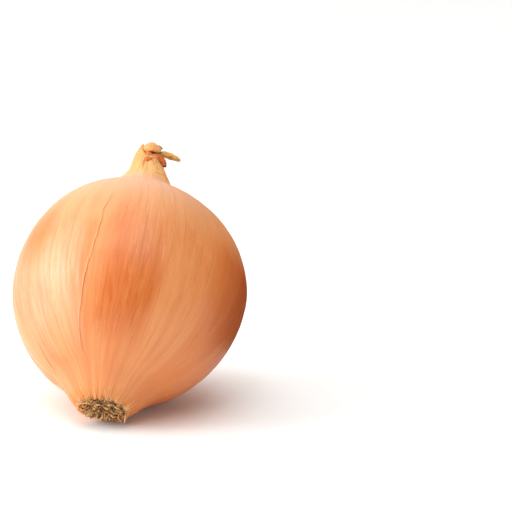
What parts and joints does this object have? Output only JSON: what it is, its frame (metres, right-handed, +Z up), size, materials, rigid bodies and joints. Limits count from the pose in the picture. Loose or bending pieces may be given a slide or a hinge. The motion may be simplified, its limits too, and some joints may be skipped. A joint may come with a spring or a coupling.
{
  "type": "onion",
  "caption": "Whole cured yellow onion lying on its side, with ribbed papery skin, a dried root tuft and a dry closed neck.",
  "frame": {"origin": "centre of the flat spot that the onion rests on, under the middle of its bulb", "axes": "+Z up from the table; the onion's own axis leans from +Z towards +Y, neck up and back, roots down and forward; X lies across the onion"},
  "size_m": [0.0807, 0.0829, 0.0846],
  "materials": {
    "bulb": "satin dry papery skin, orange brown",
    "root_tuft": "matte dried roots, straw to brown",
    "neck_tips": "matte dried sheath tips, orange brown",
    "leaf_stub": "matte dried leaf, golden olive"
  },
  "bodies": {
    "root": {"bulb": "bulb", "root_tuft": "root_tuft", "neck_tips": "neck_tips", "leaf_stub": "leaf_stub"}
  },
  "joints": []
}
